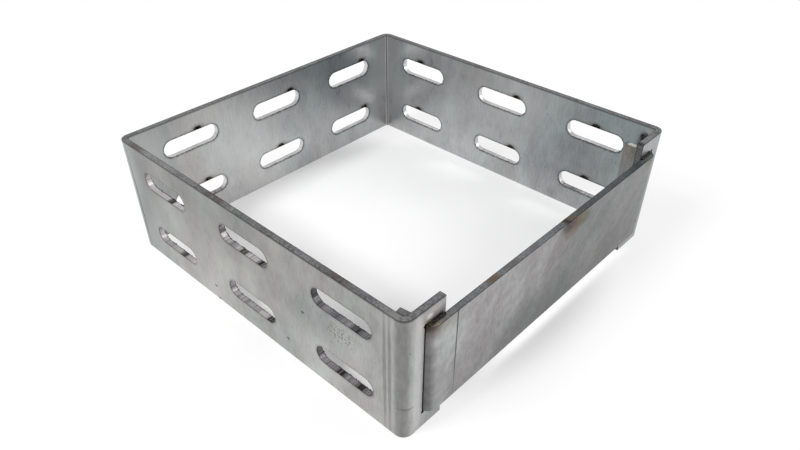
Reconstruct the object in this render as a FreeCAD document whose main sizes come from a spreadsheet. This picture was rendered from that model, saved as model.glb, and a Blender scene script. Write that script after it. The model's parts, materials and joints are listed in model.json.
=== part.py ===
"""Sheet metal chassis: a folded, slotted frame closed by a hooked plate.

One strip of sheet is folded into a ring with four bends.  Three walls carry two
rows of three slots; the two short end flanges leave the +X side open.  A lower
plate closes that side from outside.  Its ends are bent inward and pass through a
window beside the bend of each flange, and a tack weld on its top edge holds it at
each end.

Frame: origin at the middle of the underside of the ring, +Z up, and the closing
plate on the +X side.  All sizes are in millimetres.
"""
import FreeCAD, Part
import math
import os

import Sketcher

doc = FreeCAD.newDocument("chassis")

# ---------------------------------------------------------------- driving sizes
SIZES = [
    ("sheet_thickness", 3.0, "thickness of the frame's sheet"),
    ("frame_length", 180.0, "ring along X, over the outer faces"),
    ("frame_width", 179.0, "ring along Y, over the outer faces"),
    ("frame_height", 60.0, "height of the walls"),
    ("frame_bend_radius", 1.5, "inside radius of the frame's four bends"),
    ("flange_length", 20.6, "end flange, from the side wall's outer face"),
    ("slot_length", 31.5, "slot, end to end"),
    ("slot_width", 9.0, "slot, across"),
    ("side_slot_pitch", 57.4, "slot spacing along the two side walls"),
    ("back_slot_pitch", 54.4, "slot spacing along the back wall"),
    ("left_slot_offset", 1.2, "left wall's slots, from mid-wall toward the front"),
    ("slot_row_height", 15.2, "underside to the centre line of the lower row"),
    ("slot_row_spacing", 30.2, "lower row to upper row"),
    ("plate_thickness", 3.0, "thickness of the closing plate"),
    ("plate_lift", 8.7, "underside of the frame to the underside of the plate"),
    ("plate_drop", 7.6, "top of the frame to the top of the plate"),
    ("plate_bend_radius", 1.5, "inside radius of the plate's two bends"),
    ("plate_bend_angle", 82.0, "turn of each plate end, a little short of square"),
    ("seam_setback", 10.4, "side wall's outer face to the outside of a plate end"),
    ("return_reach", 12.0, "plate end, inward from the flange's outer face"),
    ("seam_gap", 0.6, "window edge to the outside of a plate end"),
    ("window_clearance", 0.3, "window round the plate elsewhere"),
    ("relief_radius", 0.9, "round relief in the window's corners beside the seam"),
    ("tack_length", 9.4, "tack weld, along the plate's edge"),
    ("tack_leg", 1.3, "tack weld, up the flange and out over the plate"),
    ("tack_inset", 5.0, "outside of a plate end to the middle of its tack"),
]

sheet = doc.addObject("Spreadsheet::Sheet", "Sizes")
for row, (alias, value, meaning) in enumerate(SIZES, start=1):
    sheet.set(f"A{row}", alias)
    sheet.set(f"B{row}", str(value))
    sheet.set(f"C{row}", meaning)
    sheet.setAlias(f"B{row}", alias)
doc.recompute()


def size(alias):
    """The value of one cell of the sheet."""
    return float(sheet.get(alias))


# ---------------------------------------------------------------- derived places
# Each formula binds dimensions to the sheet; the function beside it gives the same
# value, for the first place of a sketch's geometry.
SEAM_EDGE = "(Sizes.frame_width / 2 - Sizes.seam_setback + Sizes.seam_gap)"
PLATE_TOP = "(Sizes.frame_height - Sizes.plate_drop)"
WINDOW_LOW = "(Sizes.plate_lift - Sizes.window_clearance)"
WINDOW_HIGH = f"({PLATE_TOP} + Sizes.window_clearance)"
TACK_MIDDLE = "(Sizes.frame_width / 2 - Sizes.seam_setback - Sizes.tack_inset)"
# The plate's bends turn about centres level with the seam: the outside of the bend
# crosses the flange's outer face where the seam setback says.
BEND_CENTRE_Y = ("(Sizes.frame_width / 2 - Sizes.seam_setback - sqrt("
                 "pow(Sizes.plate_bend_radius + Sizes.plate_thickness; 2)"
                 " - pow(Sizes.plate_bend_radius; 2)))")


def seam_edge():
    """Window edge beside the seam, from the middle of the frame."""
    return size("frame_width") / 2 - size("seam_setback") + size("seam_gap")


def plate_top():
    """Height of the plate's top edge."""
    return size("frame_height") - size("plate_drop")


def window_low():
    """Height of the windows' lower edge."""
    return size("plate_lift") - size("window_clearance")


def window_high():
    """Height of the windows' upper edge."""
    return plate_top() + size("window_clearance")


def bend_centre_y():
    """Distance of the plate's bend centres from the middle of the plate."""
    outer = size("plate_bend_radius") + size("plate_thickness")
    rise = math.sqrt(outer ** 2 - size("plate_bend_radius") ** 2)
    return size("frame_width") / 2 - size("seam_setback") - rise


# ---------------------------------------------------------------- sketch helpers
ORIGIN = (-1, 1)        # the sketch origin, as Sketcher names it
START, END, CENTRE = 1, 2, 3


def origin_plane(body, role):
    """One of the body's own origin planes."""
    return next(f for f in body.Origin.OriginFeatures if f.Role == role)


def new_sketch(body, name, role):
    """An empty sketch lying on an origin plane of its body."""
    sketch = body.newObject("Sketcher::SketchObject", name)
    sketch.AttachmentSupport = [(origin_plane(body, role), "")]
    sketch.MapMode = "FlatFace"
    return sketch


def constrain(sketch, *arguments):
    """Add one geometric constraint."""
    return sketch.addConstraint(Sketcher.Constraint(*arguments))


def dimension(sketch, name, formula, *arguments):
    """Add one dimension and bind it to a formula on the sheet."""
    index = constrain(sketch, *arguments)
    sketch.renameConstraint(index, name)
    sketch.setExpression(f"Constraints.{name}", formula)
    return index


def across(sketch, name, formula, point, value):
    """Distance of a point from the vertical axis, on whichever side it lies."""
    ends = (*ORIGIN, *point) if value > 0 else (*point, *ORIGIN)
    dimension(sketch, name, formula, "DistanceX", *ends, abs(value))


def polar(centre, radius, angle):
    """Point at an angle, in degrees, on a circle in the sketch plane."""
    turn = math.radians(angle)
    return centre + FreeCAD.Vector(radius * math.cos(turn), radius * math.sin(turn), 0)


def arc(centre, radius, first, last):
    """Counter-clockwise arc between two angles in degrees."""
    circle = Part.Circle(centre, FreeCAD.Vector(0, 0, 1), radius)
    return Part.ArcOfCircle(circle, math.radians(first), math.radians(last))


def line(first, last):
    return Part.LineSegment(first, last)


def vector(x, y):
    return FreeCAD.Vector(x, y, 0)


# ---------------------------------------------------------------- folded frame
def fold_profile(sketch):
    """Plan of the folded strip: flange, side wall, back wall, side wall, flange.

    The outer faces run counter-clockwise from the -Y flange's bend to the +Y
    flange; every bend is a pair of arcs round one centre.
    """
    thick = size("sheet_thickness")
    inner_radius = size("frame_bend_radius")
    outer_radius = inner_radius + thick
    half_x = size("frame_length") / 2
    half_y = size("frame_width") / 2
    flange_y = half_y - size("flange_length")
    in_x = half_x - outer_radius
    in_y = half_y - outer_radius
    bends = [(vector(in_x, in_y), 0), (vector(-in_x, in_y), 90),
             (vector(-in_x, -in_y), 180), (vector(in_x, -in_y), 270)]

    def wire(radius, half_length, half_width):
        """Lines and arcs of one side of the sheet, from +Y flange to -Y flange."""
        ends = [vector(half_length, flange_y)]
        for centre, first in bends:
            ends.append(polar(centre, radius, first))
            ends.append(polar(centre, radius, first + 90))
        ends.append(vector(half_length, -flange_y))
        shapes = []
        for index in range(len(ends) - 1):
            if index % 2 == 0:
                shapes.append(line(ends[index], ends[index + 1]))
            else:
                centre, first = bends[index // 2]
                shapes.append(arc(centre, radius, first, first + 90))
        return shapes

    outer = sketch.addGeometry(wire(outer_radius, half_x, half_y), False)
    inner = sketch.addGeometry(wire(inner_radius, half_x - thick, half_y - thick), False)
    ends = sketch.addGeometry([
        line(vector(half_x, flange_y), vector(half_x - thick, flange_y)),
        line(vector(half_x, -flange_y), vector(half_x - thick, -flange_y)),
    ], False)

    for side in (outer, inner):
        for before, after in zip(side, side[1:]):
            constrain(sketch, "Tangent", before, END, after, START)
    for index in (1, 3, 5, 7):
        constrain(sketch, "Coincident", outer[index], CENTRE, inner[index], CENTRE)
    for index in (3, 5, 7):
        constrain(sketch, "Equal", outer[1], outer[index])
    for lines, direction in (((0, 4, 8), "Vertical"), ((2, 6), "Horizontal")):
        for index in lines:
            constrain(sketch, direction, outer[index])
    for end, point in zip(ends, (START, END)):
        wall = 0 if point == START else 8
        constrain(sketch, "Coincident", outer[wall], point, end, START)
        constrain(sketch, "Coincident", inner[wall], point, end, END)
        constrain(sketch, "Horizontal", end)

    dimension(sketch, "outer_bend", "Sizes.frame_bend_radius + Sizes.sheet_thickness",
              "Radius", outer[1], outer_radius)
    dimension(sketch, "inner_bend", "Sizes.frame_bend_radius", "Radius", inner[1], inner_radius)
    dimension(sketch, "front_face", "Sizes.frame_length / 2",
              "DistanceX", *ORIGIN, outer[0], START, half_x)
    dimension(sketch, "front_face_low", "Sizes.frame_length / 2",
              "DistanceX", *ORIGIN, outer[8], END, half_x)
    dimension(sketch, "back_face", "Sizes.frame_length / 2",
              "DistanceX", outer[4], START, *ORIGIN, half_x)
    dimension(sketch, "right_face", "Sizes.frame_width / 2",
              "DistanceY", *ORIGIN, outer[2], START, half_y)
    dimension(sketch, "left_face", "Sizes.frame_width / 2",
              "DistanceY", outer[6], START, *ORIGIN, half_y)
    dimension(sketch, "right_flange", "Sizes.frame_width / 2 - Sizes.flange_length",
              "DistanceY", *ORIGIN, outer[0], START, flange_y)
    dimension(sketch, "left_flange", "Sizes.frame_width / 2 - Sizes.flange_length",
              "DistanceY", outer[8], END, *ORIGIN, flange_y)


def slot_outline(sketch, pitch_alias, offset_alias):
    """The first slot of the lower row; patterns repeat it along and up the wall."""
    radius = size("slot_width") / 2
    reach = size("slot_length") / 2 - radius
    middle_x = -size(pitch_alias)
    far_end = f"Sizes.{pitch_alias} + (Sizes.slot_length - Sizes.slot_width) / 2"
    if offset_alias:
        middle_x += size(offset_alias)
        far_end += f" - Sizes.{offset_alias}"
    middle_z = size("slot_row_height")
    left = vector(middle_x - reach, middle_z)
    right = vector(middle_x + reach, middle_z)
    lift = vector(0, radius)
    low, cap, high, tail = sketch.addGeometry([
        line(left - lift, right - lift),
        arc(right, radius, -90, 90),
        line(right + lift, left + lift),
        arc(left, radius, 90, 270),
    ], False)
    for before, after in ((low, cap), (cap, high), (high, tail), (tail, low)):
        constrain(sketch, "Tangent", before, END, after, START)
    constrain(sketch, "Horizontal", low)
    dimension(sketch, "round_end", "Sizes.slot_width / 2", "Radius", cap, radius)
    dimension(sketch, "between_ends", "Sizes.slot_length - Sizes.slot_width",
              "DistanceX", tail, CENTRE, cap, CENTRE, 2 * reach)
    dimension(sketch, "far_end", far_end, "DistanceX", tail, CENTRE, *ORIGIN, -left.x)
    dimension(sketch, "row_height", "Sizes.slot_row_height",
              "DistanceY", *ORIGIN, tail, CENTRE, middle_z)


def cut_slots(body, wall, role, pitch_alias, offset_alias=None, along_normal=False):
    """Two rows of three slots, cut from an origin plane outward through one wall."""
    sketch = new_sketch(body, wall + "_slot_outline", role)
    slot_outline(sketch, pitch_alias, offset_alias)
    pocket = body.newObject("PartDesign::Pocket", wall + "_slot")
    pocket.Profile = sketch
    pocket.Type = "ThroughAll"
    pocket.Reversed = along_normal
    doc.recompute()
    slots = body.newObject("PartDesign::MultiTransform", wall + "_slots")
    slots.Originals = [pocket]
    columns = body.newObject("PartDesign::LinearPattern", wall + "_columns")
    columns.Direction = (sketch, ["H_Axis"])
    columns.Occurrences = 3
    columns.setExpression("Length", f"2 * Sizes.{pitch_alias}")
    rows = body.newObject("PartDesign::LinearPattern", wall + "_rows")
    rows.Direction = (sketch, ["V_Axis"])
    rows.Occurrences = 2
    rows.setExpression("Length", "Sizes.slot_row_spacing")
    slots.Transformations = [columns, rows]
    body.Tip = slots
    sketch.Visibility = False
    doc.recompute()


def window_outline(sketch, side):
    """Window in one flange, beside its bend, for the plate's bent end."""
    near = side * seam_edge()
    far = side * (bend_centre_y() - size("window_clearance"))
    low = window_low()
    high = window_high()
    bottom, inside, top, seam = sketch.addGeometry([
        line(vector(near, low), vector(far, low)),
        line(vector(far, low), vector(far, high)),
        line(vector(far, high), vector(near, high)),
        line(vector(near, high), vector(near, low)),
    ], False)
    for before, after in ((bottom, inside), (inside, top), (top, seam), (seam, bottom)):
        constrain(sketch, "Coincident", before, END, after, START)
    for edge, direction in ((bottom, "Horizontal"), (top, "Horizontal"),
                            (inside, "Vertical"), (seam, "Vertical")):
        constrain(sketch, direction, edge)
    word = "right" if side > 0 else "left"
    across(sketch, f"{word}_seam_edge", SEAM_EDGE, (seam, START), near)
    across(sketch, f"{word}_inside_edge", f"{BEND_CENTRE_Y} - Sizes.window_clearance",
           (inside, START), far)
    dimension(sketch, f"{word}_low_edge", WINDOW_LOW,
              "DistanceY", *ORIGIN, bottom, START, low)
    dimension(sketch, f"{word}_high_edge", WINDOW_HIGH,
              "DistanceY", *ORIGIN, top, START, high)


def relief_outline(sketch, side):
    """Two round reliefs centred on the window's corners beside the seam."""
    relief = size("relief_radius")
    middle = side * (seam_edge() - relief / 2)
    word = "right" if side > 0 else "left"
    for end, formula, height in (("low", WINDOW_LOW, window_low()),
                                 ("high", WINDOW_HIGH, window_high())):
        circle = sketch.addGeometry(
            Part.Circle(vector(middle, height), FreeCAD.Vector(0, 0, 1), relief), False)
        dimension(sketch, f"{word}_{end}_relief", "Sizes.relief_radius",
                  "Radius", circle, relief)
        across(sketch, f"{word}_{end}_across", f"{SEAM_EDGE} - Sizes.relief_radius / 2",
               (circle, CENTRE), middle)
        dimension(sketch, f"{word}_{end}_height", formula,
                  "DistanceY", *ORIGIN, circle, CENTRE, height)


def folded_frame():
    """The slotted ring with its two windowed end flanges."""
    body = doc.addObject("PartDesign::Body", "folded_frame")
    body.Label = "folded_frame"
    plan = new_sketch(body, "fold_plan", "XY_Plane")
    fold_profile(plan)
    walls = body.newObject("PartDesign::Pad", "walls")
    walls.Profile = plan
    walls.setExpression("Length", "Sizes.frame_height")
    plan.Visibility = False
    doc.recompute()
    cut_slots(body, "back", "YZ_Plane", "back_slot_pitch")
    cut_slots(body, "right", "XZ_Plane", "side_slot_pitch")
    cut_slots(body, "left", "XZ_Plane", "side_slot_pitch", "left_slot_offset",
              along_normal=True)
    for name, outline in (("window", window_outline), ("relief", relief_outline)):
        sketch = new_sketch(body, name + "_outline", "YZ_Plane")
        for side in (-1, 1):
            outline(sketch, side)
        cut = body.newObject("PartDesign::Pocket", name)
        cut.Profile = sketch
        cut.Type = "ThroughAll"
        cut.Reversed = True
        sketch.Visibility = False
        doc.recompute()
        body.Tip = cut
    return body


# ---------------------------------------------------------------- closing plate
def plate_profile(sketch):
    """Plan of the plate: straight face, two bends and two inward ends."""
    thick = size("plate_thickness")
    inner_radius = size("plate_bend_radius")
    outer_radius = inner_radius + thick
    bend_angle = size("plate_bend_angle")
    inner_x = size("frame_length") / 2
    centre_x = inner_x - inner_radius
    centre_y = bend_centre_y()
    tip_x = inner_x - size("return_reach")
    lean = math.tan(math.radians(90 - bend_angle))

    def tip_corner(side):
        """Outer corner of a plate end's square-cut tip."""
        on_end = polar(vector(centre_x, side * centre_y), outer_radius, side * bend_angle)
        return vector(tip_x, on_end.y + side * (on_end.x - tip_x) * lean)

    def wire(radius):
        """Lines and arcs of one face, from the +Y tip round to the -Y tip."""
        upper, lower = [], []
        for side, points in ((1, upper), (-1, lower)):
            centre = vector(centre_x, side * centre_y)
            on_end = polar(centre, radius, side * bend_angle)
            tip = polar(tip_corner(side), outer_radius - radius, side * (bend_angle + 180))
            points += [centre, centre + vector(radius, 0), on_end, tip]
        return [
            line(upper[3], upper[2]),
            arc(upper[0], radius, 0, bend_angle),
            line(upper[1], lower[1]),
            arc(lower[0], radius, -bend_angle, 0),
            line(lower[2], lower[3]),
        ]

    outer = sketch.addGeometry(wire(outer_radius), False)
    inner = sketch.addGeometry(wire(inner_radius), False)
    tips = sketch.addGeometry([
        line(sketch.getPoint(outer[0], START), sketch.getPoint(inner[0], START)),
        line(sketch.getPoint(outer[4], END), sketch.getPoint(inner[4], END)),
    ], False)
    for side in (outer, inner):
        top_end, top_bend, face, low_bend, low_end = side
        constrain(sketch, "Tangent", top_end, END, top_bend, END)
        constrain(sketch, "Tangent", top_bend, START, face, START)
        constrain(sketch, "Tangent", face, END, low_bend, END)
        constrain(sketch, "Tangent", low_bend, START, low_end, START)
    for bend in (1, 3):
        constrain(sketch, "Coincident", outer[bend], CENTRE, inner[bend], CENTRE)
    constrain(sketch, "Equal", outer[1], outer[3])
    constrain(sketch, "Vertical", outer[2])
    for tip, point, end in ((tips[0], START, 0), (tips[1], END, 4)):
        constrain(sketch, "Coincident", outer[end], point, tip, START)
        constrain(sketch, "Coincident", inner[end], point, tip, END)
        constrain(sketch, "Perpendicular", outer[end], tip)

    dimension(sketch, "outer_bend", "Sizes.plate_bend_radius + Sizes.plate_thickness",
              "Radius", outer[1], outer_radius)
    dimension(sketch, "inner_bend", "Sizes.plate_bend_radius", "Radius", inner[1], inner_radius)
    dimension(sketch, "face_position", "Sizes.frame_length / 2 + Sizes.plate_thickness",
              "DistanceX", *ORIGIN, outer[2], START, inner_x + thick)
    dimension(sketch, "top_bend_centre", BEND_CENTRE_Y,
              "DistanceY", *ORIGIN, outer[1], CENTRE, centre_y)
    dimension(sketch, "low_bend_centre", BEND_CENTRE_Y,
              "DistanceY", outer[3], CENTRE, *ORIGIN, centre_y)
    for word, tip in (("top", tips[0]), ("low", tips[1])):
        dimension(sketch, f"{word}_tip", "Sizes.frame_length / 2 - Sizes.return_reach",
                  "DistanceX", *ORIGIN, tip, START, tip_x)
    for word, end, formula, turn in (
            ("top", outer[0], "(Sizes.plate_bend_angle - 90) * 1 deg", bend_angle - 90),
            ("low", outer[4], "-(Sizes.plate_bend_angle + 90) * 1 deg", -bend_angle - 90)):
        dimension(sketch, f"{word}_turn", formula, "Angle", end, math.radians(turn))


def closing_plate():
    """The plate that closes the +X side from outside."""
    body = doc.addObject("PartDesign::Body", "closing_plate")
    body.Label = "closing_plate"
    plan = new_sketch(body, "plate_plan", "XY_Plane")
    plan.setExpression("AttachmentOffset.Base.z", "Sizes.plate_lift")
    plate_profile(plan)
    face = body.newObject("PartDesign::Pad", "face")
    face.Profile = plan
    face.setExpression("Length", f"{PLATE_TOP} - Sizes.plate_lift")
    plan.Visibility = False
    doc.recompute()
    return body


# ---------------------------------------------------------------- tack welds
def tack_outline(sketch):
    """Half lens: a chord on the flange's outer face and an arc over the plate."""
    half = size("tack_length") / 2
    leg = size("tack_leg")
    face = size("frame_length") / 2
    middle = size("frame_width") / 2 - size("seam_setback") - size("tack_inset")
    radius = (half ** 2 + leg ** 2) / (2 * leg)
    spread = math.degrees(math.asin(half / radius))
    chord, crown = sketch.addGeometry([
        line(vector(face, middle + half), vector(face, middle - half)),
        arc(vector(face + leg - radius, middle), radius, -spread, spread),
    ], False)
    constrain(sketch, "Coincident", chord, END, crown, START)
    constrain(sketch, "Coincident", crown, END, chord, START)
    constrain(sketch, "Vertical", chord)
    dimension(sketch, "face", "Sizes.frame_length / 2",
              "DistanceX", *ORIGIN, chord, START, face)
    dimension(sketch, "far_end", f"{TACK_MIDDLE} + Sizes.tack_length / 2",
              "DistanceY", *ORIGIN, chord, START, middle + half)
    dimension(sketch, "length", "Sizes.tack_length",
              "DistanceY", chord, END, chord, START, 2 * half)
    dimension(sketch, "crown_radius",
              "(pow(Sizes.tack_length / 2; 2) + pow(Sizes.tack_leg; 2))"
              " / (2 * Sizes.tack_leg)", "Radius", crown, radius)


def tack_welds():
    """A quarter-round bead at each end, between plate edge and flange face."""
    outline = doc.addObject("Sketcher::SketchObject", "tack_outline")
    outline.setExpression("Placement.Base.z", PLATE_TOP)
    tack_outline(outline)
    right = doc.addObject("Part::Revolution", "right_tack")
    right.Source = outline
    right.Axis = FreeCAD.Vector(0, -1, 0)
    right.Angle = 90
    right.Solid = True
    right.setExpression("Base.x", "Sizes.frame_length / 2")
    right.setExpression("Base.z", PLATE_TOP)
    left = doc.addObject("Part::Mirroring", "left_tack")
    left.Source = right
    left.Normal = FreeCAD.Vector(0, 1, 0)
    pair = doc.addObject("Part::Compound", "tack_welds")
    pair.Label = "tack_welds"
    pair.Links = [left, right]
    doc.recompute()
    return pair


# ---------------------------------------------------------------- build and write
parts = [folded_frame(), closing_plate(), tack_welds()]
doc.recompute()

for thing in doc.Objects:
    if "Invalid" in thing.State or "Error" in thing.State:
        raise RuntimeError(f"{thing.Name} did not build: {thing.State}")
for part in parts:
    shape = part.Shape
    if shape.isNull() or not shape.isValid():
        raise RuntimeError(f"{part.Label} has no valid shape")

os.makedirs("parts", exist_ok=True)
for part in parts:
    part.Shape.exportStep(f"parts/{part.Label}.step")
    box = part.Shape.BoundBox
    print(f"{part.Label}: {len(part.Shape.Solids)} solid(s), {part.Shape.Volume:.1f} mm3, "
          f"X {box.XMin:.2f}..{box.XMax:.2f}, Y {box.YMin:.2f}..{box.YMax:.2f}, "
          f"Z {box.ZMin:.2f}..{box.ZMax:.2f}")
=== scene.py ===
"""Looks of the sheet metal chassis: bare rolled steel, laser cut and folded.

The folded frame and the closing plate are made the way the real ones are: a flat
blank with its slots and windows, cut edges slightly rounded, then folded.  Each
piece keeps the blank's own coordinates as its UV map, so grain, die marks and
scorches follow the sheet round its bends.
"""
import json
import math

import bmesh
import bpy
from mathutils import Matrix, Vector

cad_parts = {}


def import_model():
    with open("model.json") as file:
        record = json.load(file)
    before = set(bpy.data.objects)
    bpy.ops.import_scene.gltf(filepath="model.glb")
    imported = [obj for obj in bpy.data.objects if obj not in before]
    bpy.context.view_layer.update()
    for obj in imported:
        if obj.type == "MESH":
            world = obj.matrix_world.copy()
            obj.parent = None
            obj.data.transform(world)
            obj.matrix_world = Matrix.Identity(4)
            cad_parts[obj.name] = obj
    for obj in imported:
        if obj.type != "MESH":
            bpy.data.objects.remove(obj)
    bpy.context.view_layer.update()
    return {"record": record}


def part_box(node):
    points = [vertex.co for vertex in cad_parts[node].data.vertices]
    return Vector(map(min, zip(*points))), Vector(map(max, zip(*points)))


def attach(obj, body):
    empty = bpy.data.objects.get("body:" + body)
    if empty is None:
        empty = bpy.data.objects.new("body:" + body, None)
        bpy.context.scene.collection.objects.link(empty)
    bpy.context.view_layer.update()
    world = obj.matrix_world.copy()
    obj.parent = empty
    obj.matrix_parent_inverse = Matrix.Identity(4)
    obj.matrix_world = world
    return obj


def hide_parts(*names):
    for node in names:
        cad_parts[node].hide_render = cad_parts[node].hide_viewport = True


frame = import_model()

MM = 0.001

# ------------------------------------------------------------------ sizes, in metres
frame_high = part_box("folded_frame")[1]
plate_low, plate_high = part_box("closing_plate")
tack_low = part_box("tack_welds")[0]
mounts = {mount["name"]: mount for mount in frame["record"]["mounts"]}
side_slots = mounts["left_wall_slots_near"]
back_slots = mounts["back_wall_slots_near"]

HALF_LENGTH = frame_high.x
HALF_WIDTH = frame_high.y
HEIGHT = frame_high.z
THICKNESS = plate_high.x - frame_high.x
PLATE_LIFT = plate_low.z
PLATE_HEIGHT = plate_high.z - plate_low.z
FRAME_BEND = 1.5 * MM               # inside radius
PLATE_BEND = 1.5 * MM
PLATE_TURN = math.radians(82)
FLANGE_LENGTH = 20.6 * MM
SEAM_SETBACK = 10.4 * MM
SEAM_GAP = 0.6 * MM
WINDOW_CLEARANCE = 0.3 * MM
RELIEF = 0.9 * MM
SLOT_LENGTH = side_slots["dims"]["slot_length_mm"] * MM
SLOT_RADIUS = side_slots["dims"]["hole_r_mm"] * MM
SIDE_PITCH = side_slots["dims"]["spacing_x_mm"] * MM
BACK_PITCH = back_slots["dims"]["spacing_x_mm"] * MM
ROW_SPACING = side_slots["dims"]["spacing_y_mm"] * MM
ROW_MIDDLE = side_slots["pos_m"][2]
LEFT_SHIFT = side_slots["pos_m"][0] - SIDE_PITCH / 2    # left wall's slots sit nearer the front
LOW_ROW = ROW_MIDDLE - ROW_SPACING / 2
HIGH_ROW = ROW_MIDDLE + ROW_SPACING / 2
EDGE_ROUND = 0.15 * MM              # softened arris left by the cut
ARC_STEPS = 20                      # points round each slot end
BEND_STEPS = 10                     # facets round each bend

MATHS = "ShaderNodeMath"
VECTOR = "ShaderNodeVectorMath"
MIX = "ShaderNodeMix"
RANGE = "ShaderNodeMapRange"
MAPPING = "ShaderNodeMapping"
SEPARATE = "ShaderNodeSeparateXYZ"
COORDINATES = "ShaderNodeTexCoord"
RANDOM = "FunctionNodeRandomValue"


# ------------------------------------------------------------------ colour and nodes
def colour(text):
    """Linear colour from an sRGB hex value."""
    channels = [int(text[i:i + 2], 16) / 255 for i in (1, 3, 5)]
    return [c / 12.92 if c <= 0.04045 else ((c + 0.055) / 1.055) ** 2.4
            for c in channels] + [1.0]


def add(tree, kind, inputs=(), **settings):
    """Add a node with its settings and its inputs, given in order or by name.

    An input is a constant, a socket, or a node whose first output in use is taken.
    """
    node = tree.nodes.new(kind)
    for name, value in settings.items():
        setattr(node, name, value)
    in_use = [socket for socket in node.inputs if socket.enabled]
    for key, value in (inputs.items() if isinstance(inputs, dict) else enumerate(inputs)):
        socket = in_use[key] if isinstance(key, int) else node.inputs[key]
        if isinstance(value, bpy.types.Node):
            value = next(output for output in value.outputs if output.enabled)
        if isinstance(value, bpy.types.NodeSocket):
            tree.links.new(value, socket)
        else:
            socket.default_value = value
    return node


def mottle(tree, place, size, stretch=(1, 1), detail=2, low=0.38, high=0.62):
    """Blotches of a size in mm, stretched across and up the sheet, from 0 to 1."""
    scale = (1 / (size * MM * stretch[0]), 1 / (size * MM * stretch[1]), 1 / (size * MM))
    moved = add(tree, MAPPING, {"Vector": place, "Scale": scale})
    rough = add(tree, "ShaderNodeTexNoise", {"Vector": moved, "Scale": 1.0, "Detail": detail})
    return add(tree, RANGE, [rough, low, high], interpolation_type="SMOOTHSTEP")


def spot(tree, place, centre, half_size, soft=0.6):
    """1 inside an ellipse on the blank, falling softly to 0 outside it."""
    scale = (1 / half_size[0], 1 / half_size[1], 0)
    shift = (-centre[0] * scale[0], -centre[1] * scale[1], 0)
    moved = add(tree, MAPPING, {"Vector": place, "Location": shift, "Scale": scale})
    away = add(tree, VECTOR, [moved], operation="LENGTH")
    return add(tree, RANGE, [away, 1 - soft, 1 + soft, 1, 0], interpolation_type="SMOOTHSTEP")


def total(tree, *parts):
    """Sum of patterns, each with its weight."""
    running = 0.0
    for pattern, weight in parts:
        running = add(tree, MATHS, [pattern, weight, running], operation="MULTIPLY_ADD")
    return running


def both(tree, first, second):
    """Where two patterns are both present."""
    return add(tree, MATHS, [first, second], operation="MULTIPLY")


def stain(tree, base, mask, tint, strength=1.0, mode="MULTIPLY"):
    """Lay a colour over the base where the mask is."""
    amount = both(tree, mask, strength)
    return add(tree, MIX, [amount, base, colour(tint)], data_type="RGBA", blend_type=mode)


def new_material(name):
    """A material with an empty node tree."""
    material = bpy.data.materials.new(name)
    material.use_nodes = True
    material.node_tree.nodes.clear()
    return material, material.node_tree


def metal_surface(tree, base, metallic, rough, height, strength, depth):
    """Finish a metal: its colour, its sheen and a fine relief of a depth in mm."""
    bump = add(tree, "ShaderNodeBump",
               {"Strength": strength, "Distance": depth * MM, "Height": height})
    shader = add(tree, "ShaderNodeBsdfPrincipled",
                 {"Base Color": base, "Metallic": metallic, "Roughness": rough, "Normal": bump})
    add(tree, "ShaderNodeOutputMaterial", [shader])


# ------------------------------------------------------------------ folding
class FoldPath:
    """The outer face of a folded strip seen from above, folding to the right."""

    def __init__(self, start, heading, steps, thickness):
        self.thickness = thickness
        self.parts = []
        place, along = 0.0, Vector(start)
        direction = heading
        for step in steps:
            self.parts.append((place, along.copy(), direction, step))
            if step[0] == "run":
                along += step[1] * Vector((math.cos(direction), math.sin(direction)))
                place += step[1]
            else:
                turn, inside = step[1], step[2]
                outside = inside + thickness
                normal = direction - math.pi / 2
                centre = along + outside * Vector((math.cos(normal), math.sin(normal)))
                normal -= turn
                along = centre - outside * Vector((math.cos(normal), math.sin(normal)))
                direction -= turn
                place += (inside + thickness / 2) * turn
        self.length = place

    def across(self, index, at):
        """Blank coordinate of a place on a straight run, from its x or y there in mm."""
        place, along, direction, _ = self.parts[index]
        heading = Vector((round(math.cos(direction)), round(math.sin(direction))))
        return place + (Vector((at, at)) * MM - along).dot(heading)

    def bend_middle(self, index):
        """Blank coordinate of the middle of a bend."""
        place, _, _, step = self.parts[index]
        return place + (step[2] + self.thickness / 2) * step[1] / 2

    def bend_cuts(self):
        """Where the blank needs an edge so that each bend is smoothly round."""
        cuts = []
        margin = 0.4 * MM
        for place, _, _, step in self.parts:
            if step[0] == "bend":
                arc = (step[2] + self.thickness / 2) * step[1]
                cuts += [place + arc * i / BEND_STEPS for i in range(BEND_STEPS + 1)]
                cuts += [place - margin, place + arc + margin]
        return cuts

    def point(self, across, depth):
        """Plan position of a point on the blank, depth being measured inward."""
        place, along, direction, step = self.parts[0]
        for part in self.parts:
            if across >= part[0]:
                place, along, direction, step = part
        travelled = across - place
        if step[0] == "run":
            normal = direction - math.pi / 2
            return (along + travelled * Vector((math.cos(direction), math.sin(direction)))
                    + depth * Vector((math.cos(normal), math.sin(normal))))
        turn, inside = step[1], step[2]
        outside = inside + self.thickness
        normal = direction - math.pi / 2
        centre = along + outside * Vector((math.cos(normal), math.sin(normal)))
        angle = normal - travelled / (inside + self.thickness / 2)
        return centre - (outside - depth) * Vector((math.cos(angle), math.sin(angle)))


def blank_curve(name, loops, thickness):
    """A flat blank with holes: first loop outside, the rest holes."""
    curve = bpy.data.curves.new(name, "CURVE")
    curve.dimensions = "2D"
    curve.fill_mode = "BOTH"
    curve.extrude = thickness / 2 - EDGE_ROUND
    curve.bevel_depth = EDGE_ROUND
    curve.bevel_resolution = 1
    curve.offset = -EDGE_ROUND
    for loop in loops:
        spline = curve.splines.new("POLY")
        spline.points.add(len(loop) - 1)
        for point, (across, up) in zip(spline.points, loop):
            point.co = (across, up, 0, 1)
        spline.use_cyclic_u = True
    return curve


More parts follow.
